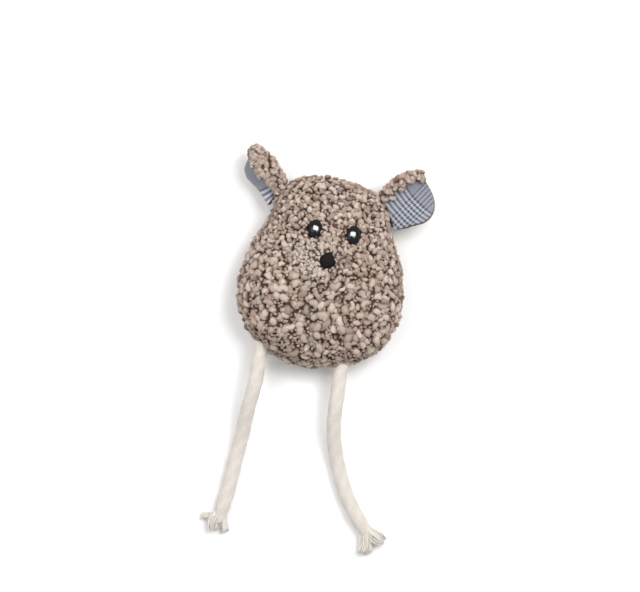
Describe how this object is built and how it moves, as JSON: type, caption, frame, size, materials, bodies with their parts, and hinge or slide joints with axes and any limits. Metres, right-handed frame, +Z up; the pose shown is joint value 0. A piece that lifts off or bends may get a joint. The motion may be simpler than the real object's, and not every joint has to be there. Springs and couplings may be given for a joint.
{
  "type": "catnip toy",
  "caption": "Stuffed mouse cat toy in curly pile fabric, with cupped ears lined in check cotton, plastic eyes and nose, cotton rope legs and a catnip sachet in its filling.",
  "frame": {"origin": "middle of the flat patch under the back, on the ground that the toy lies on", "axes": "+Z up out of the belly and face, +Y towards the head, +X to the right of a viewer who looks down at the face"},
  "size_m": [0.0908, 0.1727, 0.0364],
  "materials": {
    "pile_fabric": "curly knitted pile, cream and beige tips over dark brown roots",
    "check_cotton": "woven cotton, grey and navy glen check",
    "cotton_rope": "undyed soft laid cotton rope",
    "fibre_filling": "loose white polyester wadding",
    "muslin": "thin unbleached muslin",
    "dried_herb": "crumbled dried leaf",
    "gloss_eye": "polished black plastic",
    "matt_nose": "flocked matt black plastic",
    "washer_plastic": "plain moulded plastic",
    "sewing_thread": "spun polyester thread"
  },
  "bodies": {
    "torso": {"front_panel": "pile_fabric", "back_panel": "pile_fabric", "front_filling": "fibre_filling", "back_filling": "fibre_filling", "seam_thread": "sewing_thread", "sachet_front": "muslin", "sachet_back": "muslin", "dried_catnip": "dried_herb", "left_eye": "gloss_eye", "right_eye": "gloss_eye", "nose": "matt_nose", "left_eye_washer": "washer_plastic", "right_eye_washer": "washer_plastic", "nose_washer": "washer_plastic"},
    "left_ear": {"left_ear_back": "pile_fabric", "left_ear_lining": "check_cotton"},
    "right_ear": {"right_ear_back": "pile_fabric", "right_ear_lining": "check_cotton"},
    "left_hip": {"left_leg_root": "cotton_rope"},
    "left_leg": {"left_leg_rope": "cotton_rope", "left_foot_strand_1": "cotton_rope", "left_foot_strand_2": "cotton_rope", "left_foot_strand_3": "cotton_rope"},
    "right_hip": {"right_leg_root": "cotton_rope"},
    "right_leg": {"right_leg_rope": "cotton_rope", "right_foot_strand_1": "cotton_rope", "right_foot_strand_2": "cotton_rope", "right_foot_strand_3": "cotton_rope"}
  },
  "joints": [
    {"name": "left_ear_flap", "type": "hinge", "parent": "torso", "child": "left_ear", "pos_m": [-0.02712, 0.03421, 0.013], "axis": [0.4878, 0.873, 0], "range_deg": [-18, 20], "stiffness_Nm_per_rad": 0.006},
    {"name": "right_ear_flap", "type": "hinge", "parent": "torso", "child": "right_ear", "pos_m": [0.02554, 0.03196, 0.013], "axis": [0.4786, -0.878, 0], "range_deg": [-35, 40], "stiffness_Nm_per_rad": 0.006},
    {"name": "left_leg_lift", "type": "hinge", "parent": "torso", "child": "left_hip", "pos_m": [-0.02186, -0.04155, 0.013], "axis": [-0.9997, 0.0256, 0], "range_deg": [0, 90]},
    {"name": "right_leg_lift", "type": "hinge", "parent": "torso", "child": "right_hip", "pos_m": [0.0145, -0.04333, 0.013], "axis": [-0.9997, -0.0256, 0], "range_deg": [0, 90]},
    {"name": "left_leg_swing", "type": "hinge", "parent": "left_hip", "child": "left_leg", "pos_m": [-0.02217, -0.05325, 0.013], "axis": [0, 0, 1], "range_deg": [-35, 20]},
    {"name": "right_leg_swing", "type": "hinge", "parent": "right_hip", "child": "right_leg", "pos_m": [0.0148, -0.05503, 0.013], "axis": [0, 0, 1], "range_deg": [-20, 35]}
  ]
}
